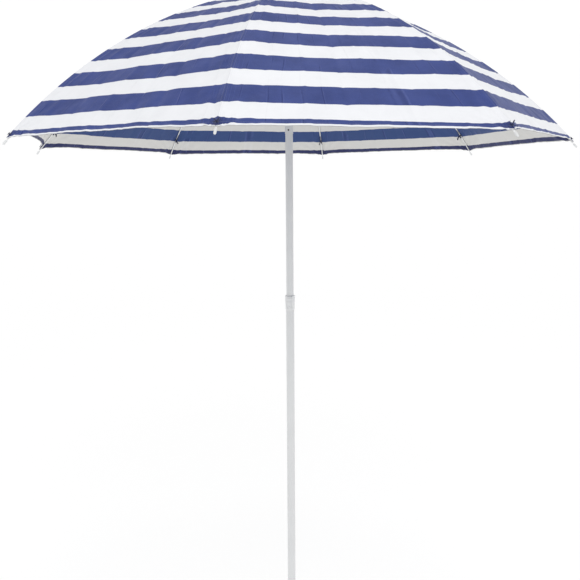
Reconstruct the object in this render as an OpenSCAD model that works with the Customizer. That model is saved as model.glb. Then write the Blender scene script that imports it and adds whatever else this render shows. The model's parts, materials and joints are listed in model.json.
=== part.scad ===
// Beach umbrella: two-part pole, sliding runner, crown, eight ribs with stretchers and a striped eight-gore canopy.
// +Z is up along the pole. The origin is on the pole's axis, at the lower end of the lower tube.
// Rib 1 points along -Y, where the push tab and the runner's catch also face.

/* [Canopy] */
// Radius from the pole's axis to a corner of the canopy
canopy_r = 900; // [900:1:905]
// Height of the canopy's corners above the lower end of the tube
hem_h = 1660; // [1600:5:1760]
// Radius of the circle that each rib follows
rib_bend = 1588.6; // [1585:0.2:1592]
// Rib tilt: how far inside the axis that circle's centre lies
bend_in = 277.8; // [277:0.2:279]
// Thickness of the canopy's cloth solid
cloth_t = 1; // [0.6:0.1:1]
// How far the flat facets of the cloth solid stand out, so that they clear the curved ribs
cloth_out = 0.9; // [0.9:0.1:1]
// Share by which the cloth draws in halfway between two ribs
draw_in = 0.012; // [0:0.002:0.016]
// How far the hem rises halfway between two ribs
hem_rise = 17; // [0:1:22]

/* [Pole] */
// Outer radius of the lower tube
low_r = 14; // [13.9:0.1:14]
// Outer radius of the upper tube
up_r = 12.5; // [12.3:0.1:12.5]
// Wall of both tubes
wall = 1.2; // [0.8:0.1:1.2]
// Length of the upper tube that stays inside the lower tube
insert_l = 360; // [300:10:500]
// Length of the pointed foot below the lower tube
foot_l = 45; // [30:1:80]

/* [Joint collar] */
// Height of the collar's lower end
collar_z = 1105.5; // [1100:0.5:1110]
// Length of the collar
collar_l = 49.5; // [49:0.5:52]
// Radius of the collar at its top
collar_r = 17; // [16.8:0.1:17.2]

/* [Frame] */
// Radius of the rib wire
rib_r = 2; // [1.6:0.1:2]
// Radius of the stretcher wire
str_r = 1.8; // [1.4:0.1:1.8]
// Radius of the wire ring in the crown, on which the ribs turn
crown_ring_r = 20; // [20:0.5:20.5]
// Radius of the wire ring in the runner, on which the stretchers turn
runner_ring_r = 22; // [22:0.5:22.5]
// Height of the runner's ring above the canopy's corners
runner_h = 81; // [78:1:84]
// Distance from the axis to the joint of rib and stretcher
joint_u = 420; // [410:1:430]
// Sideways offset of the stretcher's outer end beside its rib
side = 6; // [5.8:0.1:6.4]
// How far the joint of rib and stretcher hangs below the rib's wire
joint_drop = 5; // [4.8:0.1:5.2]

/* [Hidden] */
$fn = 64;
RIBS = 8;
H = hem_h;
zc = -sqrt(rib_bend * rib_bend - pow(canopy_r + bend_in, 2)); // centre of the rib circle, from the corners
Rr = rib_bend - cloth_t - 0.9 - rib_r;                         // circle of the rib wire's centre line
function cloth_z(u) = H + zc + sqrt(rib_bend * rib_bend - pow(u + bend_in, 2));
function rib_z(u) = H + zc + sqrt(Rr * Rr - pow(u + bend_in, 2));
function rib_phi(u) = asin((u + bend_in) / Rr);
crown_z = rib_z(crown_ring_r);
run_z = H + runner_h;
jphi = rib_phi(joint_u);
joint_x = joint_u - joint_drop * sin(jphi);
joint_z = rib_z(joint_u) - joint_drop * cos(jphi);
swage_z = collar_z - 2;
str_ang = atan2(joint_z - run_z, joint_x - runner_ring_r);
str_l = norm([joint_x - runner_ring_r, side, joint_z - run_z]);
cap_z = cloth_z(25) + 1.7;
low_top = collar_z + 32;
up_bot = low_top - insert_l;
up_top = crown_z + 1;
white = [0.93, 0.93, 0.92];
coat = [0.86, 0.87, 0.87];
steel = [0.74, 0.75, 0.77];
blue = [0.25, 0.31, 0.54];

// Puts a rib-frame child (radial +X, sideways +Y) at rib k's place
module at_rib(k) rotate([0, 0, -90 + (k - 1) * 360 / RIBS]) children();

// A wire of radius r along the rib's circle, from angle p0 to p1 off the vertical; bore cuts it hollow
module arc_wire(p0, p1, r, bore = 0)
  translate([-bend_in, 0, H + zc]) rotate([90, 0, 0]) rotate([0, 0, 90 - p1])
    rotate_extrude(angle = p1 - p0, $fn = 96) translate([Rr, 0]) difference() {
      circle(r, $fn = 32);
      if (bore > 0) circle(bore, $fn = 32);
    }

module ring_wire(r, z) translate([0, 0, z]) rotate_extrude() translate([r, 0]) circle(1, $fn = 24);

// --- pole ---
module foot_point() color(white) translate([0, 0, 0]) {
  translate([0, 0, -6]) cylinder(h = 5.9, r = low_r - 0.2);
  translate([0, 0, -foot_l]) cylinder(h = foot_l - 6, r1 = 3, r2 = low_r - 0.2);
  translate([0, 0, -0.1]) cylinder(h = 32, r = low_r - wall - 0.1);
}

// The end that the collar covers is drawn in by 0.3 mm
module lower_tube() color(coat) difference() {
  union() {
    cylinder(h = swage_z, r = low_r);
    cylinder(h = low_top, r = low_r - 0.3);
  }
  translate([0, 0, -1]) cylinder(h = low_top + 2, r = low_r - wall);
}

module collar() color(white) difference() {
  union() {
    translate([0, 0, collar_z]) cylinder(h = 3, r1 = 14.8, r2 = 15.6);
    translate([0, 0, collar_z + 3]) cylinder(h = collar_l - 4.5, r1 = 15.6, r2 = collar_r);
    translate([0, 0, collar_z + collar_l - 1.5]) cylinder(h = 1.5, r1 = collar_r, r2 = collar_r - 0.9);
    // cheeks on both sides of the push tab
    hull() for (x = [-9, 9]) {
      translate([x, -16.6, collar_z + 3.4]) cylinder(h = collar_l - 4.9, r = 1.2, $fn = 32);
      translate([x, -10, collar_z + 1.6]) cylinder(h = collar_l - 2.6, r = 1.2, $fn = 32);
    }
  }
  translate([0, 0, collar_z - 1]) cylinder(h = low_top - collar_z + 1, r = low_r - 0.25);
  translate([0, 0, collar_z - 1]) cylinder(h = collar_l + 2, r = up_r + 0.35);
  translate([-7.9, -24, collar_z + 5]) cube([15.8, 24 - 14.9, collar_l - 7.4]);
  translate([0, 0, collar_z + 11.5]) rotate([90, 0, 0]) cylinder(h = 24, r = 3.6);
}

// Plate with two grip slots, a round nub in a U-shaped groove, and a pin behind it
module release_tab() color(white) {
  nub = collar_z + 11.5;
  top = collar_z + collar_l;
  difference() {
    hull() for (x = [-6.1, 6.1]) for (z = [collar_z + 6.8, top - 4.2])
      translate([x, -17, z]) rotate([90, 0, 0]) {
        cylinder(h = 1.6, r = 1.5, $fn = 32);
        cylinder(h = 2.1, r = 1, $fn = 32);
      }
    for (z = [top - 7, top - 19]) hull() for (x = [-4.6, 4.6])
      translate([x, -17.7, z]) rotate([90, 0, 0]) cylinder(h = 3, r = 1.5, $fn = 32);
    translate([0, -18.6, nub]) rotate([90, 0, 0]) difference() {
      hull() { cylinder(h = 3, r = 5.6); translate([0, 6, 0]) cylinder(h = 3, r = 5.6); }
      translate([0, 0, -1]) hull() { cylinder(h = 5, r = 4.7); translate([0, 8, 0]) cylinder(h = 5, r = 4.7); }
      translate([-8, 6, -1]) cube([16, 8, 5]);
    }
  }
  translate([0, -19, nub]) rotate([90, 0, 0]) { cylinder(h = 1, r = 3.2); translate([0, 0, 1]) cylinder(h = 0.6, r1 = 3.2, r2 = 2.3); }
  translate([0, -15.9, nub]) rotate([90, 0, 0]) cylinder(h = 1.6, r = 3.2);
}

module upper_tube() color(coat) difference() {
  translate([0, 0, up_bot]) cylinder(h = up_top - up_bot, r = up_r);
  translate([0, 0, up_bot - 1]) cylinder(h = up_top - up_bot + 2, r = up_r - wall);
  translate([0, 0, crown_z - 38]) rotate([0, 90, 0]) cylinder(h = 60, r = 2.05, center = true);
  translate([0, 0, H + 51]) rotate([90, 0, 0]) cylinder(h = 30, r = 2.9);
}

module tube_plug() color(white) translate([0, 0, up_bot - 3]) {
  cylinder(h = 2.9, r = up_r - 0.1);
  cylinder(h = 24, r = up_r - wall - 0.1);
}

// --- crown ---
module crown() color(white) difference() {
  union() {
    translate([0, 0, crown_z - 9]) cylinder(h = 9.5, r = 23.5);
    translate([0, 0, crown_z + 0.5]) cylinder(h = 1, r1 = 23.5, r2 = 22.5);
    translate([0, 0, crown_z - 17]) cylinder(h = 8, r1 = 17, r2 = 23.5);
    translate([0, 0, crown_z - 48]) cylinder(h = 40, r = 16.4);
  }
  translate([0, 0, crown_z - 60]) cylinder(h = 80, r = up_r + 0.05);
  for (k = [1:RIBS]) at_rib(k) translate([16.6, -2.6, crown_z - 20]) cube([20, 5.2, 40]);
  translate([0, 0, crown_z - 1.3]) difference() {
    cylinder(h = 10, r = crown_ring_r + 1.2);
    translate([0, 0, -1]) cylinder(h = 12, r = crown_ring_r - 1.2);
  }
  translate([0, 0, crown_z - 38]) rotate([0, 90, 0]) cylinder(h = 60, r = 2.05, center = true);
}

module crown_ring() color(steel) ring_wire(crown_ring_r, crown_z);

module crown_rivet() color(steel) translate([0, 0, crown_z - 38]) rotate([0, 90, 0]) {
  cylinder(h = 35, r = 2, center = true);
  translate([0, 0, 16.6]) cylinder(h = 1.4, r1 = 3.6, r2 = 2.4);
  translate([0, 0, -18]) cylinder(h = 1.4, r1 = 2.4, r2 = 3.6);
}

module finial() color(white) {
  translate([0, 0, cap_z]) cylinder(h = 2.4, r = 31);
  translate([0, 0, cap_z + 2.4]) cylinder(h = 5, r1 = 30, r2 = 15);
  translate([0, 0, cap_z + 7.4]) cylinder(h = 6, r1 = 11, r2 = 9);
  translate([0, 0, cap_z + 24]) sphere(r = 14);
  translate([0, 0, up_top - 20]) cylinder(h = cap_z - up_top + 21, r = up_r - wall - 0.1);
}

// --- runner ---
module runner() color(white) difference() {
  union() {
    translate([0, 0, H + 66]) cylinder(h = 6, r = 17);
    translate([0, 0, run_z - 12]) cylinder(h = 6, r1 = 17, r2 = 28);
    translate([0, 0, run_z - 6]) cylinder(h = 12, r = 28);
    translate([0, 0, run_z + 6]) cylinder(h = 14, r = 16.4);
  }
  translate([0, 0, H]) cylinder(h = 130, r = up_r + 0.5);
  translate([0, 0, H + 60]) cylinder(h = 18, r = up_r + 0.95);
  for (k = [1:RIBS]) at_rib(k) translate([18.3, -2.7, run_z - 14]) cube([20, 5.4, 40]);
  translate([0, 0, run_z - 1.3]) difference() {
    cylinder(h = 10, r = runner_ring_r + 1.2);
    translate([0, 0, -1]) cylinder(h = 12, r = runner_ring_r - 1.2);
  }
}

// Thin steel sleeve in the runner's lower end, with the catch's hole
module runner_ferrule() color(coat) difference() {
  translate([0, 0, H + 39]) cylinder(h = 39, r = up_r + 0.95);
  translate([0, 0, H + 38]) cylinder(h = 42, r = up_r + 0.4);
  translate([0, 0, H + 51]) rotate([90, 0, 0]) cylinder(h = 30, r = 3.1);
}

module runner_ring() color(steel) ring_wire(runner_ring_r, run_z);

// Round catch behind the ferrule's hole, on a flange inside the upper tube
module runner_catch() color(steel) translate([0, -9.4, H + 51]) rotate([90, 0, 0]) {
  cylinder(h = 2.6, r = 2.7);
  translate([0, 0, 2.6]) cylinder(h = 0.6, r1 = 2.7, r2 = 1.9);
  translate([0, 0, -1.2]) cylinder(h = 1.2, r = 4);
}

// --- ribs ---
module rib(k) color(steel) at_rib(k) difference() {
  union() {
    arc_wire(rib_phi(crown_ring_r + 1), rib_phi(canopy_r) + 0.35, rib_r);
    translate([crown_ring_r, 0, crown_z]) rotate([90, 0, 0]) cylinder(h = 2.6, r = 3.2, center = true);
    arc_wire(jphi - 0.3, jphi + 0.3, 2.9);
    hull() {
      translate([joint_x, 2.9, joint_z]) rotate([90, 0, 0]) cylinder(h = 4.4, r = 3.4);
      translate([-bend_in + (Rr - 1) * sin(jphi), 2.4, H + zc + (Rr - 1) * cos(jphi)]) rotate([90, 0, 0]) cylinder(h = 3.9, r = 1.4, $fn = 32);
    }
    translate([joint_x, side - 1.7, joint_z]) rotate([90, 0, 0]) cylinder(h = 2, r = 2.3);
  }
  translate([crown_ring_r, 0, crown_z]) rotate([90, 0, 0]) cylinder(h = 6, r = 1.3, center = true);
}

// Moulded end cap over the last of the rib wire, standing past the cloth's corner
module rib_tip(k) color(white) at_rib(k) {
  p = rib_phi(canopy_r);
  translate([-bend_in + Rr * sin(p), 0, H + zc + Rr * cos(p)]) rotate([0, 90 + p, 0]) rotate_extrude()
    polygon([[2.1, 1.7], [2.9, 1.7], [3.1, 2.1], [3.1, 12.6], [2.8, 14], [2.1, 14.9], [1.1, 15.4], [0, 15.5], [0, 10.8], [2.1, 10.8]]);
}

// --- stretchers ---
module stretcher(k) color(steel) at_rib(k) difference() {
  union() {
    translate([runner_ring_r, 0, run_z]) rotate([0, 0, asin(side / (joint_x - runner_ring_r))]) rotate([0, 90 - str_ang, 0])
      translate([0, 0, 2.4]) cylinder(h = str_l - 5, r = str_r, $fn = 32);
    translate([runner_ring_r, 0, run_z]) rotate([90, 0, 0]) cylinder(h = 2.6, r = 3.2, center = true);
    translate([joint_x, side + 1.4, joint_z]) rotate([90, 0, 0]) cylinder(h = 2.8, r = 3.6);
    translate([joint_x, side + 2.6, joint_z]) rotate([90, 0, 0]) cylinder(h = 1.3, r1 = 1.7, r2 = 2.7);
  }
  translate([runner_ring_r, 0, run_z]) rotate([90, 0, 0]) cylinder(h = 6, r = 1.3, center = true);
}

// --- canopy: each gore is two halves, one on each side of its seam on the rib ---
NU = 14; // rows from crown to hem
NF = 4;  // columns from the rib to the middle of the gore
HALF = 180 / RIBS;
u0 = 25.5;
// A point at row i, column j, on the outside (t = 0) or the inside (t = cloth_t), in the rib's frame, mirrored by s.
// The facets stand out by cloth_out at their corners, which clears the curved rib halfway between.
function gore_u(i) = u0 + (canopy_r - u0) * i / NU;
function gore_pt(i, j, t, s) =
  let (f = j / NF,
       e = pow(i / NU, 6) * hem_rise * f * (2 - f),
       u = gore_u(i) - e * cos(47),
       z = cloth_z(u),
       phi = asin((u + bend_in) / rib_bend),
       o = cloth_out - t,
       uu = (u + o * sin(phi)) * (1 - draw_in * f * (2 - f) * (1 - pow(2 * abs(i / NU - 0.5), 2))),
       half = max(0.01, uu * sin(HALF)),
       d = 0.25 + (half - 0.5) * f)
  [uu - d * sin(HALF), s * d * cos(HALF), z + o * cos(phi)];
function gid(i, j, side) = side * (NU + 1) * (NF + 1) + i * (NF + 1) + j;
module gore_half(k, s) color(blue) at_rib(k) {
  pts = [for (t = [0, cloth_t]) for (i = [0:NU]) for (j = [0:NF]) gore_pt(i, j, t, s)];
  quads = concat(
    [for (i = [0:NU - 1]) for (j = [0:NF - 1]) [gid(i, j, 0), gid(i + 1, j, 0), gid(i + 1, j + 1, 0), gid(i, j + 1, 0)]],
    [for (i = [0:NU - 1]) for (j = [0:NF - 1]) [gid(i, j, 1), gid(i, j + 1, 1), gid(i + 1, j + 1, 1), gid(i + 1, j, 1)]],
    [for (i = [0:NU - 1]) [gid(i, 0, 0), gid(i, 0, 1), gid(i + 1, 0, 1), gid(i + 1, 0, 0)]],
    [for (i = [0:NU - 1]) [gid(i, NF, 0), gid(i + 1, NF, 0), gid(i + 1, NF, 1), gid(i, NF, 1)]],
    [for (j = [0:NF - 1]) [gid(0, j, 0), gid(0, j + 1, 0), gid(0, j + 1, 1), gid(0, j, 1)]],
    [for (j = [0:NF - 1]) [gid(NU, j, 0), gid(NU, j, 1), gid(NU, j + 1, 1), gid(NU, j + 1, 0)]]);
  tris = [for (q = quads) each [[q[0], q[1], q[2]], [q[0], q[2], q[3]]]];
  polyhedron(points = pts, faces = s > 0 ? [for (t = tris) [t[0], t[2], t[1]]] : tris, convexity = 4);
}

foot_point();
lower_tube();
collar();
release_tab();
upper_tube();
tube_plug();
crown();
crown_ring();
crown_rivet();
finial();
runner();
runner_ferrule();
runner_ring();
runner_catch();
rib(1);  // rib_1
rib(2);  // rib_2
rib(3);  // rib_3
rib(4);  // rib_4
rib(5);  // rib_5
rib(6);  // rib_6
rib(7);  // rib_7
rib(8);  // rib_8
rib_tip(1);  // rib_tip_1
rib_tip(2);  // rib_tip_2
rib_tip(3);  // rib_tip_3
rib_tip(4);  // rib_tip_4
rib_tip(5);  // rib_tip_5
rib_tip(6);  // rib_tip_6
rib_tip(7);  // rib_tip_7
rib_tip(8);  // rib_tip_8
stretcher(1);  // stretcher_1
stretcher(2);  // stretcher_2
stretcher(3);  // stretcher_3
stretcher(4);  // stretcher_4
stretcher(5);  // stretcher_5
stretcher(6);  // stretcher_6
stretcher(7);  // stretcher_7
stretcher(8);  // stretcher_8
gore_half(1, 1);  // gore_1a
gore_half(2, 1);  // gore_2a
gore_half(3, 1);  // gore_3a
gore_half(4, 1);  // gore_4a
gore_half(5, 1);  // gore_5a
gore_half(6, 1);  // gore_6a
gore_half(7, 1);  // gore_7a
gore_half(8, 1);  // gore_8a
gore_half(1, -1);  // gore_1b
gore_half(2, -1);  // gore_2b
gore_half(3, -1);  // gore_3b
gore_half(4, -1);  // gore_4b
gore_half(5, -1);  // gore_5b
gore_half(6, -1);  // gore_6b
gore_half(7, -1);  // gore_7b
gore_half(8, -1);  // gore_8b
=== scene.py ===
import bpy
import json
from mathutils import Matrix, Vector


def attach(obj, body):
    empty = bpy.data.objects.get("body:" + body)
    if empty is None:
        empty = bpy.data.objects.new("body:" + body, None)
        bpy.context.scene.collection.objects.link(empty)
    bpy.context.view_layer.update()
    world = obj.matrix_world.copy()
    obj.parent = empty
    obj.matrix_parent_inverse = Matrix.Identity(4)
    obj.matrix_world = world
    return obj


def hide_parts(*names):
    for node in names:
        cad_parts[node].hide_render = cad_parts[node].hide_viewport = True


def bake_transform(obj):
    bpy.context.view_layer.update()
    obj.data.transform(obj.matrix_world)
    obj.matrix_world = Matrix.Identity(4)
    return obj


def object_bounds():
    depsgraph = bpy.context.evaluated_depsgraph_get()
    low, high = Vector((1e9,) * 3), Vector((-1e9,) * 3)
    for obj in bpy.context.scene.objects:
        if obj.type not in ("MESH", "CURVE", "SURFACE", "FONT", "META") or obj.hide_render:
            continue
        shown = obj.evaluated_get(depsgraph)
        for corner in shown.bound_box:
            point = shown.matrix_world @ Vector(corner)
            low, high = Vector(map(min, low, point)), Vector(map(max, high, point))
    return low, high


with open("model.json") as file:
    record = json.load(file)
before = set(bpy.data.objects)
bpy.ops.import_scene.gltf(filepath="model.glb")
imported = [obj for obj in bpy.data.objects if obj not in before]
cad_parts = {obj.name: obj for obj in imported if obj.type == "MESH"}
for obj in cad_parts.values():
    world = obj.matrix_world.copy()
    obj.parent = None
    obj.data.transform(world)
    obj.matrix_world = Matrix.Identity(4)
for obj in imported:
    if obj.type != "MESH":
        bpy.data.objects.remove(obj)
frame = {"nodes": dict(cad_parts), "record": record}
CAD_BOX = [list(v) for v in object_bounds()]

import json
import math
import bpy
import numpy as np
from mathutils import Matrix, Vector

S = bpy.context.scene
RIBS = 8
HALF = math.pi / RIBS

# ---------------------------------------------------------------- design numbers, as in the CAD
H = 1.660            # height of the canopy's corners
R = 0.900            # radius of the corners
BEND = 1.5886        # circle of the ribs
BIN = 0.2778
ZC = -math.sqrt(BEND ** 2 - (R + BIN) ** 2)
PHI_R = math.asin((R + BIN) / BEND)
U_TOP = 0.0272
S_TOP = BEND * (PHI_R - math.asin((U_TOP + BIN) / BEND))
CLOTH = 0.0009       # thickness of the cloth


def psi(k):
    """Azimuth of rib k."""
    return math.radians(-90 + 45 * (k - 1))


# ---------------------------------------------------------------- camera
AZ = math.radians(9.777)
cam_data = bpy.data.cameras.new("camera")
cam = bpy.data.objects.new("camera", cam_data)
S.collection.objects.link(cam)
cam_data.sensor_width = 36.0
cam_data.lens = 702.64 / 580.0 * 36.0
cam_data.clip_end = 100
CAM_D = 2.3874
cam.location = (CAM_D * math.sin(AZ), -CAM_D * math.cos(AZ), H - 0.11265)
view_dir = Vector((-math.sin(AZ), math.cos(AZ), 0)) * math.cos(math.radians(8.894)) + Vector((0, 0, -math.sin(math.radians(8.894))))
quat = view_dir.to_track_quat("-Z", "Y")
cam.rotation_mode = "QUATERNION"
cam.rotation_quaternion = quat @ Matrix.Rotation(-0.00591, 4, "Z").to_quaternion()
S.camera = cam


# ---------------------------------------------------------------- node helpers
class Tree:
    def __init__(self, name):
        self.mat = bpy.data.materials.new(name)
        self.mat.use_nodes = True
        self.nt = self.mat.node_tree
        self.nt.nodes.clear()
        self.out = self.nt.nodes.new("ShaderNodeOutputMaterial")
        self.bsdf = self.nt.nodes.new("ShaderNodeBsdfPrincipled")
        self.nt.links.new(self.bsdf.outputs[0], self.out.inputs[0])

    def n(self, kind, **kw):
        node = self.nt.nodes.new(kind)
        for k, v in kw.items():
            setattr(node, k, v)
        return node

    def link(self, a, b):
        self.nt.links.new(a, b)

    def put(self, sock, v):
        if hasattr(v, "is_linked") or isinstance(v, bpy.types.NodeSocket):
            self.nt.links.new(v, sock)
        else:
            sock.default_value = v

    def math(self, op, a, b=None, c=None, clamp=False):
        m = self.n("ShaderNodeMath", operation=op, use_clamp=clamp)
        for i, v in enumerate((a, b, c)):
            if v is not None:
                self.put(m.inputs[i], v)
        return m.outputs[0]

    def attr(self, name):
        a = self.n("ShaderNodeAttribute", attribute_name=name)
        return a.outputs["Fac"]

    def mix(self, f, a, b):
        m = self.n("ShaderNodeMix", data_type="RGBA")
        self.put(m.inputs[0], f)
        self.put(m.inputs[6], a if hasattr(a, "is_linked") else (*a, 1.0))
        self.put(m.inputs[7], b if hasattr(b, "is_linked") else (*b, 1.0))
        return m.outputs[2]

    def coords(self):
        return self.n("ShaderNodeTexCoord").outputs["Object"]

    def noise(self, scale, detail=3.0, rough=0.5, vec=None):
        t = self.n("ShaderNodeTexNoise")
        self.put(t.inputs["Vector"], vec if vec is not None else self.coords())
        t.inputs["Scale"].default_value = scale
        t.inputs["Detail"].default_value = detail
        t.inputs["Roughness"].default_value = rough
        return t.outputs["Fac"]

    def ramp(self, f, lo, hi, a=0.0, b=1.0):
        m = self.n("ShaderNodeMapRange")
        m.interpolation_type = "SMOOTHSTEP"
        self.put(m.inputs[0], f)
        for i, v in zip((1, 2, 3, 4), (lo, hi, a, b)):
            m.inputs[i].default_value = v
        return m.outputs[0]

    def lin(self, f, lo, hi, a=0.0, b=1.0):
        m = self.n("ShaderNodeMapRange")
        self.put(m.inputs[0], f)
        for i, v in zip((1, 2, 3, 4), (lo, hi, a, b)):
            m.inputs[i].default_value = v
        return m.outputs[0]

    def bump(self, height, strength, distance, normal=None):
        b = self.n("ShaderNodeBump")
        b.inputs["Strength"].default_value = strength
        b.inputs["Distance"].default_value = distance
        self.put(b.inputs["Height"], height)
        if normal is not None:
            self.put(b.inputs["Normal"], normal)
        return b.outputs[0]


# ---------------------------------------------------------------- materials
def mat_coat(name, base, rough=0.38, wear=True):
    """White powder coat on steel: fine orange peel, faint dust and handling marks."""
    t = Tree(name)
    big = t.noise(9.0, 4.0, 0.6)
    fine = t.noise(900.0, 2.0, 0.5)
    c = t.mix(t.ramp(big, 0.35, 0.75), base, tuple(x * 0.955 for x in base))
    if wear:
        sc = t.n("ShaderNodeMapping")
        t.link(t.coords(), sc.inputs[0])
        sc.inputs["Scale"].default_value = (1.0, 1.0, 0.06)
        marks = t.noise(260.0, 2.0, 0.6, sc.outputs[0])
        c = t.mix(t.ramp(marks, 0.70, 0.80, 0.0, 0.35), c, tuple(x * 0.78 for x in base))
    t.link(c, t.bsdf.inputs["Base Color"])
    t.link(t.lin(big, 0.3, 0.8, rough - 0.05, rough + 0.08), t.bsdf.inputs["Roughness"])
    t.bsdf.inputs["Coat Weight"].default_value = 0.15
    t.bsdf.inputs["Coat Roughness"].default_value = 0.25
    t.link(t.bump(fine, 0.25, 0.0002), t.bsdf.inputs["Normal"])
    return t.mat


def mat_plastic(name, base, rough=0.45):
    """Moulded white plastic: fine spark texture, faint flow marks."""
    t = Tree(name)
    big = t.noise(38.0, 3.0, 0.55)
    fine = t.noise(2600.0, 2.0, 0.6)
    c = t.mix(t.ramp(big, 0.3, 0.75), base, tuple(x * 0.95 for x in base))
    t.link(c, t.bsdf.inputs["Base Color"])
    t.link(t.lin(big, 0.3, 0.8, rough - 0.06, rough + 0.1), t.bsdf.inputs["Roughness"])
    t.bsdf.inputs["Subsurface Weight"].default_value = 0.05
    t.bsdf.inputs["Subsurface Radius"].default_value = (0.004, 0.004, 0.004)
    t.bsdf.inputs["Subsurface Scale"].default_value = 0.2
    t.link(t.bump(fine, 0.2, 0.00012), t.bsdf.inputs["Normal"])
    return t.mat


def mat_steel(name, base=(0.62, 0.63, 0.65), rough=0.3):
    t = Tree(name)
    big = t.noise(120.0, 4.0, 0.6)
    sc = t.n("ShaderNodeMapping")
    t.link(t.coords(), sc.inputs[0])
    sc.inputs["Scale"].default_value = (1.0, 1.0, 0.05)
    streak = t.noise(1500.0, 2.0, 0.5, sc.outputs[0])
    c = t.mix(t.ramp(big, 0.4, 0.75), base, tuple(x * 0.8 for x in base))
    t.link(c, t.bsdf.inputs["Base Color"])
    t.bsdf.inputs["Metallic"].default_value = 1.0
    t.link(t.lin(streak, 0.2, 0.8, rough - 0.08, rough + 0.12), t.bsdf.inputs["Roughness"])
    t.link(t.bump(streak, 0.15, 0.0001), t.bsdf.inputs["Normal"])
    return t.mat


BLUE = (0.058, 0.083, 0.262)
WHITE = (0.86, 0.87, 0.90)
PITCH = 0.1213
BLUE_AT, BLUE_W = 0.0748, 0.0628


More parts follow.
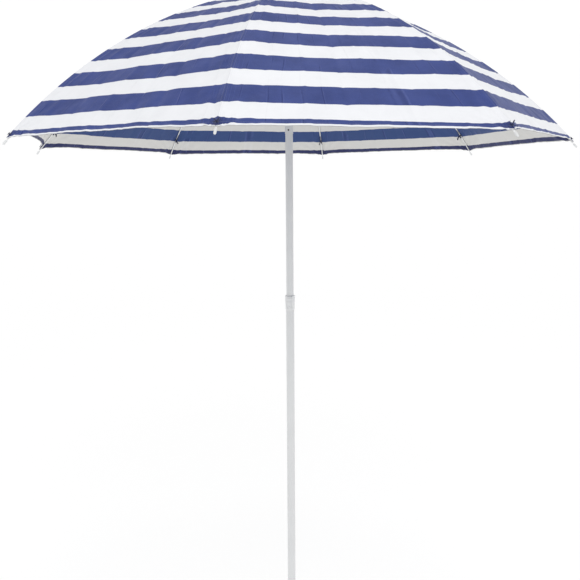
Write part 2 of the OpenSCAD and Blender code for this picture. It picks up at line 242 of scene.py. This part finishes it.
def mat_cloth():
    """Printed woven polyester: stripes by distance from the hem, weave, sheen, sewn lines, painted highlight and
    shade along folds, pleats, seams and bunched corners, and a darker, greyer back that is partly painted shade.
    """
    t = Tree("canopy_cloth")
    s = t.attr("arc")          # metres of cloth above the hem
    side = t.attr("inside")    # 1 on the underside
    seam = t.attr("seam")      # metres from the rib's seam
    across = t.attr("across")  # metres along the hem direction
    vec = t.n("ShaderNodeCombineXYZ")
    t.link(across, vec.inputs[0]); t.link(s, vec.inputs[1])
    uv = vec.outputs[0]
    wob = t.noise(34.0, 3.0, 0.55, uv)
    s1 = t.math("ADD", s, t.math("MULTIPLY", t.math("SUBTRACT", wob, 0.5), 0.0022))
    # stripes: position in the pitch, from a blue stripe's lower edge
    u = t.math("SUBTRACT", s1, BLUE_AT)
    frac = t.math("MULTIPLY", t.math("FRACT", t.math("DIVIDE", t.math("ADD", u, 10 * PITCH), PITCH)), PITCH)
    a = t.ramp(frac, -0.0006, 0.0006)
    b = t.ramp(frac, BLUE_W - 0.0006, BLUE_W + 0.0006, 1.0, 0.0)
    body = t.math("MULTIPLY", a, b)
    # the partial blue stripe at the hem, then the white binding edge
    near = t.math("POWER", 2.718, t.math("DIVIDE", seam, -0.016))
    s_lo = t.math("ADD", s, t.math("MULTIPLY", near, t.math("SUBTRACT", 0.0054, t.math("MULTIPLY", side, 0.0010))))
    s_lo = t.math("ADD", s_lo, t.math("MULTIPLY", side, 0.0016))
    s_hi = t.math("SUBTRACT", s1, t.math("MULTIPLY", near, 0.0068))
    # the hem's stripe runs out of true along one gore, where the panel was cut at a slant
    fan = t.attr("fan")        # -1 at one rib, +1 at the next, plus ten times the gore's number
    narrow = t.math("MULTIPLY", t.ramp(fan, 9.7, 10.3, 0.0, 0.0030), t.math("LESS_THAN", fan, 11.01))
    low = t.math("MULTIPLY", t.ramp(s_lo, 0.0056, 0.0063), t.ramp(t.math("ADD", t.math("SUBTRACT", s_hi, t.math("MULTIPLY", side, 0.0022)), narrow), 0.0212, 0.0222, 1.0, 0.0))
    upper = t.math("MULTIPLY", body, t.ramp(s, 0.040, 0.041))
    blue = t.math("MAXIMUM", low, upper)
    tone = t.noise(14.0, 4.0, 0.6, uv)
    speck = t.noise(420.0, 2.0, 0.6, uv)
    bl = t.mix(t.ramp(tone, 0.3, 0.75), BLUE, tuple(x * 0.80 for x in BLUE))
    bl = t.mix(t.ramp(speck, 0.45, 0.8, 0.0, 0.22), bl, tuple(min(1, x * 1.5 + 0.006) for x in BLUE))
    wh = t.mix(t.ramp(tone, 0.3, 0.8), WHITE, tuple(x * 0.955 for x in WHITE))
    col = t.mix(blue, wh, bl)
    # the back of the cloth is greyer and darker than the face: partly the duller back of the print, partly painted
    # shade for the shaded underside
    inner = t.mix(blue, (0.680, 0.675, 0.655), (0.046, 0.080, 0.212))
    inner = t.mix(low, inner, (0.040, 0.046, 0.125))
    col = t.mix(side, col, inner)
    # painted shade where the hem is bunched and tied down at a corner: the hem's blue is mixed to a darker navy
    corner_bunch_painted_shade = t.math("MULTIPLY", near, t.ramp(s, 0.012, 0.034, 1.0, 0.0))
    streak = t.noise(260.0, 2.0, 0.6, uv)
    col = t.mix(t.math("MULTIPLY", corner_bunch_painted_shade, t.math("MULTIPLY", low, t.ramp(streak, 0.35, 0.65, 0.35, 1.0))), col, (0.022, 0.026, 0.075))
    # fold lines left by packing: thin, irregular, running from the crown to the hem; the fold itself is a bump,
    # and a painted highlight on one side of it and painted shade on the other go into the colour
    bend = t.math("MULTIPLY", t.math("SUBTRACT", t.noise(5.0, 1.0, 0.5, uv), 0.5), 0.10)
    line1 = t.n("ShaderNodeTexNoise", noise_dimensions="1D")
    line1.inputs["Scale"].default_value = 3.4
    line1.inputs["Detail"].default_value = 0.0
    t.link(t.math("ADD", fan, bend), line1.inputs["W"])
    off = t.math("SUBTRACT", line1.outputs["Fac"], 0.5)
    fold = t.ramp(t.math("ABSOLUTE", off), 0.0, 0.020, 1.0, 0.0)
    lit = t.math("MULTIPLY", t.ramp(off, -0.030, -0.004), t.ramp(off, -0.004, 0.010, 1.0, 0.0))
    shade = t.math("MULTIPLY", t.ramp(off, -0.010, 0.004), t.ramp(off, 0.004, 0.030, 1.0, 0.0))
    fold_and_painted_light_amount = t.math("MULTIPLY", t.ramp(t.noise(16.0, 2.0, 0.6, uv), 0.38, 0.62), t.lin(blue, 0.0, 1.0, 0.25, 1.0))
    # pleats beside the seam, where the cloth was folded round the rib: bumped, and painted as lighter blue lines,
    # a painted highlight
    pleat_and_painted_highlight = None
    for c, wd, k in ((0.0075, 0.0007, 0.75), (0.0135, 0.0008, 1.0), (0.0225, 0.0009, 0.8)):
        ln = t.ramp(t.math("ABSOLUTE", t.math("SUBTRACT", t.math("ADD", seam, t.math("MULTIPLY", t.math("SUBTRACT", t.noise(9.0, 1.0, 0.5, uv), 0.5), 0.010)), c)), wd * 0.3, wd * 1.6, k, 0.0)
        pleat_and_painted_highlight = ln if pleat_and_painted_highlight is None else t.math("MAXIMUM", pleat_and_painted_highlight, ln)
    pleat_and_painted_highlight = t.math("MULTIPLY", pleat_and_painted_highlight, t.math("MULTIPLY", blue, t.ramp(t.noise(24.0, 2.0, 0.6, uv), 0.40, 0.58)))
    # painted highlight: the pleat lines on the blue are mixed to a lighter blue
    col = t.mix(t.math("MULTIPLY", pleat_and_painted_highlight, 0.34), col, (0.105, 0.135, 0.37))
    # painted highlight on one side of each fold line and painted shade on the other, stronger on the blue
    col = t.mix(t.math("MULTIPLY", t.math("MULTIPLY", lit, fold_and_painted_light_amount), 0.42), col, t.mix(blue, (0.90, 0.91, 0.93), (0.115, 0.148, 0.385)))
    col = t.mix(t.math("MULTIPLY", t.math("MULTIPLY", shade, fold_and_painted_light_amount), 0.50), col, t.mix(blue, (0.66, 0.67, 0.72), (0.022, 0.034, 0.135)))
    # sewn lines: two beside the rib's seam, one above the hem
    st = t.math("ABSOLUTE", t.math("SUBTRACT", seam, 0.0042))
    line = t.ramp(st, 0.0003, 0.0008, 1.0, 0.0)
    dash = t.math("GREATER_THAN", t.math("FRACT", t.math("DIVIDE", s, 0.0036)), 0.32)
    line = t.math("MULTIPLY", line, dash)
    hl = t.ramp(t.math("ABSOLUTE", t.math("SUBTRACT", s, 0.0105)), 0.0003, 0.0008, 1.0, 0.0)
    hdash = t.math("GREATER_THAN", t.math("FRACT", t.math("DIVIDE", across, 0.0036)), 0.32)
    hl = t.math("MULTIPLY", hl, hdash)
    thread = t.math("MAXIMUM", line, hl)
    col = t.mix(t.math("MULTIPLY", thread, 0.12), col, (0.60, 0.61, 0.66))
    # painted shade in the seam, stronger on the blue
    seam_painted_shade = t.ramp(seam, 0.0, 0.0016, 0.30, 0.0)
    col = t.mix(t.math("MULTIPLY", seam_painted_shade, t.lin(blue, 0.0, 1.0, 0.45, 1.3)), col, (0.06, 0.07, 0.12))
    t.link(col, t.bsdf.inputs["Base Color"])
    t.link(t.lin(tone, 0.3, 0.8, 0.42, 0.52), t.bsdf.inputs["Roughness"])
    t.bsdf.inputs["Sheen Weight"].default_value = 0.0
    t.bsdf.inputs["Sheen Roughness"].default_value = 0.4
    t.bsdf.inputs["Specular IOR Level"].default_value = 0.09
    # weave: two crossed waves of thread, with noise
    w1 = t.math("SINE", t.math("MULTIPLY", across, 2 * math.pi / 0.0011))
    w2 = t.math("SINE", t.math("MULTIPLY", s, 2 * math.pi / 0.0011))
    weave = t.math("MULTIPLY", w1, w2)
    h = t.math("ADD", t.math("MULTIPLY", weave, 0.35), t.math("MULTIPLY", speck, 0.8))
    nrm = t.bump(h, 0.18, 0.0003)
    nrm = t.bump(thread, 0.5, 0.0004, nrm)
    crinkle = t.math("MULTIPLY", t.noise(90.0, 4.0, 0.6, uv), t.lin(blue, 0.0, 1.0, 0.5, 1.0))
    nrm = t.bump(crinkle, 0.22, 0.0016, nrm)
    nrm = t.bump(pleat_and_painted_highlight, 0.4, 0.0012, nrm)
    nrm = t.bump(t.math("MULTIPLY", fold, fold_and_painted_light_amount), 0.55, 0.0016, nrm)
    t.link(nrm, t.bsdf.inputs["Normal"])
    t.bsdf.inputs["Transmission Weight"].default_value = 0.0
    return t.mat


M_COAT = mat_coat("pole_coat", (0.70, 0.71, 0.715))
M_WIRE = mat_coat("wire_coat", (0.88, 0.885, 0.89), 0.34, wear=False)
M_PLASTIC = mat_plastic("moulded_white", (0.76, 0.77, 0.775))
M_STEEL = mat_steel("bright_steel")
# painted shade: the catch is coated near black so that it reads as the dark hole in the pole around it
M_BLACK_PAINTED_SHADE = mat_coat("black_steel", (0.050, 0.050, 0.054), 0.34, wear=False)
M_CLOTH = mat_cloth()

CAD_MATS = {"pole_coat": M_COAT, "wire_coat": M_WIRE, "moulded_white": M_PLASTIC, "bright_steel": M_STEEL, "black_steel": M_BLACK_PAINTED_SHADE}
SLOTS = {p["node"]: p["material_slot"] for p in frame["record"]["subparts"]}
for node, obj in frame["nodes"].items():
    m = CAD_MATS.get(SLOTS.get(node))
    if m is not None:
        if not obj.material_slots:
            obj.data.materials.append(m)
        for sl in obj.material_slots:
            sl.link = "OBJECT"
            sl.material = m


# ---------------------------------------------------------------- the canopy's surface
def waves(x, y, seed, freqs):
    """Smooth repeatable noise in -1..1: a sum of plane waves at set frequencies."""
    rng = np.random.RandomState(seed)
    out = np.zeros_like(x)
    for f in freqs:
        for _ in range(3):
            ang = rng.uniform(0, 2 * math.pi)
            ph = rng.uniform(0, 2 * math.pi)
            k = f * rng.uniform(0.8, 1.25)
            out += np.sin(2 * math.pi * k * (x * math.cos(ang) + y * math.sin(ang)) + ph)
    return out / (3 * len(freqs)) * 1.4


# how far the hem stands up between its corners, gore by gore
EAR = {1: 0.35, 2: 1.0, 3: 0.9, 4: 0.95, 5: 0.5, 6: 1.1, 7: 2.8, 8: 0.65}
EAR_TURN = {1: -0.8}     # how the ear grows from one rib to the next
CREASES = {}
for g in range(1, RIBS + 1):
    rng = np.random.RandomState(40 + g)
    base = np.linspace(-0.72, 0.72, 6)
    CREASES[g] = [(c + rng.uniform(-0.05, 0.05), rng.choice([-1.0, 1.0]) * rng.uniform(0.55, 1.25), rng.uniform(0.006, 0.011)) for c in base]


def surface(k, sg, f, s, lift=0.0):
    """Points of the half gore beside rib k, on side sg, at share f from rib to the gore's middle and cloth distance s above the hem. lift moves them along the normal."""
    g = k if sg > 0 else (k - 2) % RIBS + 1          # the gore's number: gore g lies between ribs g and g + 1
    F = (f - 1.0) if sg > 0 else (1.0 - f)           # -1 at rib g, +1 at rib g + 1
    # ears: the corners are drawn down past the straight hem
    u_h = R
    t_hem = f * u_h * math.sin(HALF)
    q = np.clip((F + 0.3) / 1.0, 0, 1)
    ear = EAR[g] * (1 + EAR_TURN.get(g, 0.0) * q * q * (3 - 2 * q)) * (0.0092 * (1 - np.exp(-t_hem / 0.030)) + 0.0022 * np.sin(f * math.pi / 2))
    sg_ = s + ear * np.exp(-s / 0.050)
    phi = PHI_R - sg_ / BEND
    u = BEND * np.sin(phi) - BIN
    z = H + ZC + BEND * np.cos(phi)
    half = u * math.sin(HALF)
    t = f * half
    # base point in the rib's frame
    draw = 1.0 - 0.010 * f * (2 - f) * (1 - (2 * np.abs(sg_ / S_TOP - 0.5)) ** 2)
    x = u * draw - t * math.sin(HALF)
    y = t * math.cos(HALF)
    # normals
    tan = np.tan(phi)
    er_g = np.stack([np.full_like(x, math.cos(HALF)), np.full_like(x, math.sin(HALF)), np.zeros_like(x)], -1)
    ng = er_g * (tan / math.cos(HALF))[..., None] + np.array([0, 0, 1.0])
    ng /= np.linalg.norm(ng, axis=-1, keepdims=True)
    nr = np.stack([np.sin(phi), np.zeros_like(x), np.cos(phi)], -1)
    w = np.clip(t / 0.010, 0, 1)
    w = (w * w * (3 - 2 * w))[..., None]
    n = nr * (1 - w) + ng * w
    n /= np.linalg.norm(n, axis=-1, keepdims=True)
    # relief
    X = F * half            # metres from the gore's middle
    near = np.clip(t / 0.02, 0, 1)
    near = near * near * (3 - 2 * near)
    d = 0.0011 * np.exp(-(t / 0.0030) ** 2)
    # wrinkles drawn from the seam by its stitching
    d += 0.0011 * np.exp(-t / 0.030) * near * np.sin(2 * math.pi * (s / 0.041 + 0.35 * np.sin(2 * math.pi * s / 0.23 + k) + t * 6.0) + 1.7 * k + sg)
    # lines beside the rib, where the cloth was folded round it
    for c, a_, wd in ((0.014, -0.0010, 0.0035), (0.026, 0.0009, 0.004)):
        cc = c * (0.55 + 0.9 * (1 - s / S_TOP)) + 0.002 * np.sin(s * 19 + k * 2 + sg)
        d += a_ * np.exp(-((t - cc) / wd) ** 2)
    # hem puckers, stronger towards the corners
    amp = 0.0009 + 0.0024 * np.exp(-t_hem / 0.055)
    d += amp * near * np.exp(-s / 0.034) * waves(X, s * 0.35, 300 + g, (18.0, 31.0, 47.0)) * 1.3
    # fans of folds that run up from each corner
    ang = np.arctan2(t, s + 0.012)
    d += 0.0016 * near * np.exp(-(s + t) / 0.16) * np.sin(ang * 17 + k * 1.3 + sg * 0.7)
    # packing folds, which run from the crown to the hem
    for c, a_, wd in CREASES[g]:
        dist = np.abs((F - c - 0.012 * np.sin(s * 7 + c * 9)) * half)
        fade = np.clip(half / 0.10, 0, 1)
        d += 0.0019 * a_ * fade * np.exp(-dist / (0.75 * wd))
    # slack
    d += near * (0.0022 * waves(X, s, 500 + g, (2.2, 4.1)) * np.clip(half / 0.2, 0, 1) + 0.0006 * waves(X, s, 700 + g, (11.0, 19.0)))
    d -= 0.0035 * (1 - F ** 2) * np.clip(half / 0.3, 0, 1) * np.sin(np.clip(s / S_TOP, 0, 1) * math.pi) ** 0.7
    # the cloth is drawn up under the cap
    d += 0.0013 * np.exp(-np.maximum(S_TOP - s, 0) / 0.020)
    P = np.stack([x, y, z], -1) + n * (d + lift)[..., None]
    # into the row frame
    P[..., 1] *= sg
    c, s_ = math.cos(psi(k)), math.sin(psi(k))
    out = np.stack([P[..., 0] * c - P[..., 1] * s_, P[..., 0] * s_ + P[..., 1] * c, P[..., 2]], -1)
    return out, t, X


def rows():
    a = [0.0, 0.0012, 0.003, 0.005, 0.0065, 0.008, 0.0105, 0.013, 0.016, 0.019, 0.022, 0.026, 0.031, 0.037, 0.044]
    step = 0.008
    v = a[-1]
    while v < S_TOP - 0.02:
        step = min(step * 1.03, 0.0125)
        v += step
        a.append(v)
    a = np.array([x for x in a if x < S_TOP - 0.008] + [S_TOP])
    return a


def cols():
    # finer beside the seam
    a = [0.0, 0.004, 0.009, 0.015, 0.022, 0.030, 0.039, 0.049]
    v = a[-1]
    while v < 1.0 - 0.018:
        v += 0.0195
        a.append(v)
    a[-1] = 1.0
    return np.array(a)


def new_mesh(name, verts, faces, mats=(), smooth=True):
    me = bpy.data.meshes.new(name)
    me.from_pydata([tuple(v) for v in verts], [], [tuple(f) for f in faces])
    me.update()
    if smooth:
        me.polygons.foreach_set("use_smooth", [True] * len(me.polygons))
    for m in mats:
        me.materials.append(m)
    o = bpy.data.objects.new(name, me)
    S.collection.objects.link(o)
    return o


def fattr(o, name, values):
    a = o.data.attributes.new(name, "FLOAT", "POINT")
    a.data.foreach_set("value", np.asarray(values, np.float32))


def half_gore(k, sg):
    rs, cs = rows(), cols()
    nr, nc = len(rs), len(cs)
    Fm, Sm = np.meshgrid(cs, rs)
    # the hem is turned up, so the cloth is thicker below it, and its edge is rolled
    outer, t, X = surface(k, sg, Fm, Sm)
    thick = CLOTH + 0.0010 * np.clip((0.0125 - Sm) / 0.0015, 0, 1)
    roll = np.where(Sm < 0.0008, 0.0005, 0.0)
    outer, _, _ = surface(k, sg, Fm, Sm, -roll)
    inner, _, _ = surface(k, sg, Fm, Sm, -thick + roll)
    V = np.concatenate([outer.reshape(-1, 3), inner.reshape(-1, 3)])
    n = nr * nc
    idx = np.arange(n).reshape(nr, nc)
    q = np.stack([idx[:-1, :-1], idx[1:, :-1], idx[1:, 1:], idx[:-1, 1:]], -1).reshape(-1, 4)
    if sg > 0:
        q = q[:, ::-1]
    top = q
    bot = (q + n)[:, ::-1]
    def strip(a):
        a = np.asarray(a)
        return np.stack([a[:-1], a[1:], a[1:] + n, a[:-1] + n], -1)
    rim = [strip(idx[0]), strip(idx[:, -1]), strip(idx[-1, ::-1]), strip(idx[::-1, 0])]
    rim = np.concatenate(rim)
    if sg < 0:
        rim = rim[:, ::-1]
    F_ = np.concatenate([top, bot, rim])
    name = f"canopy_{k}{'a' if sg > 0 else 'b'}"
    o = new_mesh(name, V, F_, [M_CLOTH])
    arc = np.concatenate([Sm.ravel(), Sm.ravel()])
    fattr(o, "arc", arc)
    fattr(o, "inside", np.concatenate([np.zeros(n), np.ones(n)]))
    fattr(o, "seam", np.concatenate([t.ravel(), t.ravel()]))
    g = k if sg > 0 else (k - 2) % RIBS + 1
    fattr(o, "across", np.concatenate([X.ravel(), X.ravel()]) + 1.0 * g)
    share = np.concatenate([Fm.ravel(), Fm.ravel()])
    fattr(o, "fan", sg * (share - 1.0) + 10.0 * g)
    # flat size: the half gore's area
    u = BEND * np.sin(PHI_R - rs / BEND) - BIN
    area = float(np.trapezoid(u * math.sin(HALF), rs)) if hasattr(np, "trapezoid") else float(np.trapz(u * math.sin(HALF), rs))
    return o, share, area, (outer, inner, idx, n)


def normals_of(P):
    """Vertex normals of a grid."""
    gu = np.gradient(P, axis=0)
    gv = np.gradient(P, axis=1)
    n = np.cross(gu, gv)
    return n / np.maximum(np.linalg.norm(n, axis=-1, keepdims=True), 1e-12)


GORES = {}
for k in range(1, RIBS + 1):
    for sg in (1, -1):
        GORES[(k, sg)] = half_gore(k, sg)

# one continuous sheet: vertex normals at the shared edges are the mean of both sides'
nrm = {}
for key, (o, share, area, (outer, inner, idx, n)) in GORES.items():
    me = o.data
    me.calc_loop_triangles()
    vn = np.zeros(len(me.vertices) * 3)
    me.vertices.foreach_get("normal", vn)
    fn = np.zeros(len(me.polygons) * 3)
    me.polygons.foreach_get("normal", fn)
    # normals from the sheet's own two faces, without the rim
    grid_o, grid_i = normals_of(outer), normals_of(inner)
    up = np.sign((grid_o[..., 2]).mean()) or 1.0
    grid_o *= up
    grid_i *= -np.sign((grid_i[..., 2]).mean())
    nrm[key] = [grid_o, grid_i]
for g in range(1, RIBS + 1):
    a, b = (g, 1), (g % RIBS + 1, -1)
    for j in (0, 1):
        m = nrm[a][j][:, -1] + nrm[b][j][:, -1]
        m /= np.linalg.norm(m, axis=-1, keepdims=True)
        nrm[a][j][:, -1] = m
        nrm[b][j][:, -1] = m
for key, (o, share, area, (outer, inner, idx, n)) in GORES.items():
    N = np.concatenate([nrm[key][0].reshape(-1, 3), nrm[key][1].reshape(-1, 3)])
    o.data.normals_split_custom_set_from_vertices([tuple(v) for v in N])

for (k, sg), (o, share, area, _) in GORES.items():
    ab = "a" if sg > 0 else "b"
    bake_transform(o)
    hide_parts(f"gore_{k}{ab}")


# ---------------------------------------------------------------- ties and thread on the ribs
RR = BEND - 0.001 - 0.0009 - 0.002       # circle of the rib wire's centre line


def rib_frame(k, s, drop=0.0):
    """A point on rib k's wire at cloth distance s above the corner, with its outward, sideways and normal directions."""
    phi = PHI_R - s / BEND
    r = RR - drop
    c, w = math.cos(psi(k)), math.sin(psi(k))
    e_r, e_t = np.array([c, w, 0.0]), np.array([-w, c, 0.0])
    out = e_r * math.cos(phi) + np.array([0, 0, -math.sin(phi)])
    nor = e_r * math.sin(phi) + np.array([0, 0, math.cos(phi)])
    pos = e_r * (r * math.sin(phi) - BIN) + np.array([0, 0, H + ZC + r * math.cos(phi)])
    return pos, out, e_t, nor


def tube_along(path, radius, sides=10, cap=True):
    """A closed round cord along a list of points."""
    path = np.asarray(path, float)
    n = len(path)
    rad = np.full(n, radius) if np.isscalar(radius) else np.asarray(radius, float)
    tan = np.gradient(path, axis=0)
    tan /= np.maximum(np.linalg.norm(tan, axis=1, keepdims=True), 1e-12)
    ref = np.cross(tan[0], [0.3, 0.5, 0.8])
    ref /= np.linalg.norm(ref)
    V, F = [], []
    for i in range(n):
        ref = ref - tan[i] * np.dot(ref, tan[i])
        ref /= np.linalg.norm(ref)
        bi = np.cross(tan[i], ref)
        for j in range(sides):
            a = 2 * math.pi * j / sides
            V.append(path[i] + rad[i] * (math.cos(a) * ref + math.sin(a) * bi))
    for i in range(n - 1):
        for j in range(sides):
            F.append((i * sides + j, i * sides + (j + 1) % sides, (i + 1) * sides + (j + 1) % sides, (i + 1) * sides + j))
    if cap:
        V.append(path[0] - tan[0] * rad[0] * 0.5)
        V.append(path[-1] + tan[-1] * rad[-1] * 0.5)
        for j in range(sides):
            F.append((len(V) - 2, (j + 1) % sides, j))
            F.append((len(V) - 1, (n - 1) * sides + j, (n - 1) * sides + (j + 1) % sides))
    return V, F


def coil(k, s, turns, pitch, wire, radius, lean=0.0):
    """Turns of thread round rib k's wire, centred at distance s."""
    pts = []
    m = int(turns * 18)
    for i in range(m + 1):
        a = 2 * math.pi * turns * i / m
        q = s + pitch * (i / m - 0.5) * turns
        pos, out, side, nor = rib_frame(k, q)
        pts.append(pos + (radius + wire * 0.2 * math.sin(a * 0.37 + k)) * (math.cos(a) * nor + math.sin(a) * side))
    return tube_along(pts, wire)


def merge(parts):
    V, F = [], []
    for v, f in parts:
        b = len(V)
        V += list(v)
        F += [tuple(i + b for i in q) for q in f]
    return V, F


def mat_thread(name, base):
    t = Tree(name)
    a = t.noise(1800.0, 3.0, 0.6)
    b = t.noise(160.0, 2.0, 0.5)
    c = t.mix(t.ramp(a, 0.35, 0.7), base, tuple(min(1, x * 1.7 + 0.01) for x in base))
    c = t.mix(t.ramp(b, 0.4, 0.8, 0.0, 0.4), c, tuple(x * 0.6 for x in base))
    t.link(c, t.bsdf.inputs["Base Color"])
    t.bsdf.inputs["Roughness"].default_value = 0.75
    t.link(t.bump(a, 0.5, 0.0002), t.bsdf.inputs["Normal"])
    return t.mat


M_NAVY = mat_thread("tie_thread", (0.018, 0.022, 0.060))
M_PALE = mat_thread("pale_thread", (0.78, 0.78, 0.80))


def ribbon(path, wide, width, thick):
    """A flat strip along a list of points; wide gives its sideways direction at each point."""
    path, wide = np.asarray(path, float), np.asarray(wide, float)
    tan = np.gradient(path, axis=0)
    tan /= np.linalg.norm(tan, axis=1, keepdims=True)
    wide = wide - tan * (wide * tan).sum(1)[:, None]
    wide /= np.linalg.norm(wide, axis=1, keepdims=True)
    up = np.cross(tan, wide)
    n = len(path)
    prof = [(-1.0, -0.4), (-1.0, 0.4), (-0.8, 1.0), (-0.3, 0.85), (0.3, 0.85), (0.8, 1.0), (1.0, 0.4), (1.0, -0.4), (0.8, -1.0), (0.3, -0.85), (-0.3, -0.85), (-0.8, -1.0)]
    m = len(prof)
    V, F = [], []
    for i in range(n):
        w = width * (1.0 - 0.12 * (i == n - 1) + 0.03 * math.sin(2.1 * i))
        for a, b in prof:
            V.append(path[i] + wide[i] * a * w / 2 + up[i] * b * thick / 2)
    for i in range(n - 1):
        for j in range(m):
            F.append((i * m + j, i * m + (j + 1) % m, (i + 1) * m + (j + 1) % m, (i + 1) * m + j))
    F.append(tuple(range(m - 1, -1, -1)))
    F.append(tuple((n - 1) * m + j for j in range(m)))
    return V, F


for k in range(1, RIBS + 1):
    rng = np.random.RandomState(900 + k)
    # the tie that holds the cloth to the rib: navy thread wound on, and two loose ends of navy tape
    parts = [coil(k, 0.0865, 5.5, 0.0011, 0.00055, 0.00255)]
    for e, (dx, ln) in enumerate(((0.55, 0.021), (-0.45, 0.015))):
        pos, out, side, nor = rib_frame(k, 0.0865 - 0.0012 * e)
        tw = rng.uniform(-0.5, 0.5)
        pts, wide = [], []
        for i in range(13):
            q = i / 12
            pts.append(pos - nor * (0.0022 + ln * q * 0.80) + side * (dx * (0.0022 + 0.010 * q ** 1.4) + 0.0008 * math.sin(7 * q + k)) + out * (0.007 * q * q + 0.0022 * e * q))
            wide.append(out * math.cos(tw * q) + side * math.sin(tw * q))
        parts.append(ribbon(pts, wide, 0.0052, 0.0006))
    # and the tape itself, which lies along the wire
    pts, wide = [], []
    for i in range(17):
        q = i / 16
        pos, out, side, nor = rib_frame(k, 0.074 + 0.042 * q)
        pts.append(pos - nor * (0.0031 + 0.0014 * math.sin(math.pi * q) ** 2 + 0.0005 * math.sin(9 * q + k)) + side * (0.0011 * math.sin(5 * q + 2.1 * k)))
        wide.append(side + nor * 0.5 * math.sin(4 * q + k))
    parts.append(ribbon(pts, wide, 0.0040, 0.0006))
    V, F = merge(parts)
    o = new_mesh(f"tie_{k}", V, F, [M_NAVY])
    o.data.set_sharp_from_angle(angle=0.7)
    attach(o, f"rib_{k}")
    # pale thread that closes the tie
    V, F = coil(k, 0.0815, 2.0, 0.0010, 0.0006, 0.0026)
    o = new_mesh(f"tie_end_{k}", V, F, [M_PALE])
    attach(o, f"rib_{k}")
    # the knot that gathers the hem over the rib's end: a small loop and two crossed ends of tape
    parts = []
    big = {1: 1.0, 2: 1.3}.get(k, 0.7)
    for e, sgn in enumerate((1.0, -1.0)):
        pts, wide = [], []
        for i in range(13):
            q = i / 6 - 1
            pos, out, side, nor = rib_frame(k, 0.0125 - 0.0068 * big * q * sgn * (1.0 if e else 0.75))
            lift = 0.0054 + 0.0006 * e + 0.0036 * big ** 2 * abs(q) ** 2.2 + 0.0008 * (1 - q * q)
            pts.append(pos + nor * lift + side * (0.0066 * big * q + 0.0006 * math.sin(5 * q + k)))
            wide.append(nor * 0.35 * sgn * q + out - side * 0.4 * sgn)
        parts.append(ribbon(pts, wide, 0.0030, 0.0006))
    pos, out, side, nor = rib_frame(k, 0.0125)
    pts = []
    for i in range(29):
        a = 2 * math.pi * i / 18
        pts.append(pos + nor * (0.0064 + 0.0012 * math.sin(a) + 0.0002 * i / 28) + side * 0.0019 * math.cos(a) + out * (0.0012 * math.sin(2 * a)))
    parts.append(tube_along(pts, 0.0006, 8))
    V, F = merge(parts)
    o = new_mesh(f"hem_knot_{k}", V, F, [M_NAVY])
    o.data.set_sharp_from_angle(angle=0.7)
    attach(o, f"rib_{k}")


# ---------------------------------------------------------------- stage and light
def stage():
    """A pale floor that sweeps up into a backdrop all round."""
    n, prof = 96, []
    rad, rise = 9.0, 5.5
    z0 = CAD_BOX[0][2] - 0.002
    for i in range(14):
        prof.append((rad * (i / 13) ** 1.5 + 0.001, z0))
    for i in range(1, 25):
        a = math.pi / 2 * i / 24
        prof.append((rad + rise * math.sin(a), z0 + rise * (1 - math.cos(a))))
    prof.append((rad + rise, z0 + 14))
    V, F = [], []
    for j in range(n):
        a = 2 * math.pi * j / n
        for r, z in prof:
            V.append((r * math.cos(a), r * math.sin(a), z))
    m = len(prof)
    for j in range(n):
        for i in range(m - 1):
            F.append((j * m + i, ((j + 1) % n) * m + i, ((j + 1) % n) * m + i + 1, j * m + i + 1))
    V.append((0, 0, z0))
    for j in range(n):
        F.append((len(V) - 1, ((j + 1) % n) * m, j * m))
    t = Tree("studio_floor")
    t.bsdf.inputs["Base Color"].default_value = (0.30, 0.30, 0.30, 1)
    t.bsdf.inputs["Specular IOR Level"].default_value = 0.0
    t.bsdf.inputs["Roughness"].default_value = 1.0
    t.bsdf.inputs["Emission Color"].default_value = (1, 1, 1, 1)
    t.bsdf.inputs["Emission Strength"].default_value = 0.755
    o = new_mesh("floor", V, F, [t.mat])


stage()
world = bpy.data.worlds.new("world")
S.world = world
world.use_nodes = True
world.node_tree.nodes["Background"].inputs[0].default_value = (1, 1, 1, 1)
world.node_tree.nodes["Background"].inputs[1].default_value = 0.54


def area_light(name, loc, target, size, power, color=(1, 1, 1)):
    ld = bpy.data.lights.new(name, "AREA")
    ld.shape = "DISK"
    ld.size = size
    ld.energy = power
    ld.color = color
    o = bpy.data.objects.new(name, ld)
    S.collection.objects.link(o)
    o.location = loc
    o.rotation_mode = "QUATERNION"
    o.rotation_quaternion = (Vector(target) - Vector(loc)).to_track_quat("-Z", "Y")
    return o


area_light("key", (1.05, -3.1, 4.9), (0, -0.1, 1.8), 2.6, 40)
area_light("sheen", (0.42, 0.9, 6.6), (0.3, -0.5, 1.9), 1.7, 24)

S.view_settings.view_transform = "Standard"
S.view_settings.look = "None"
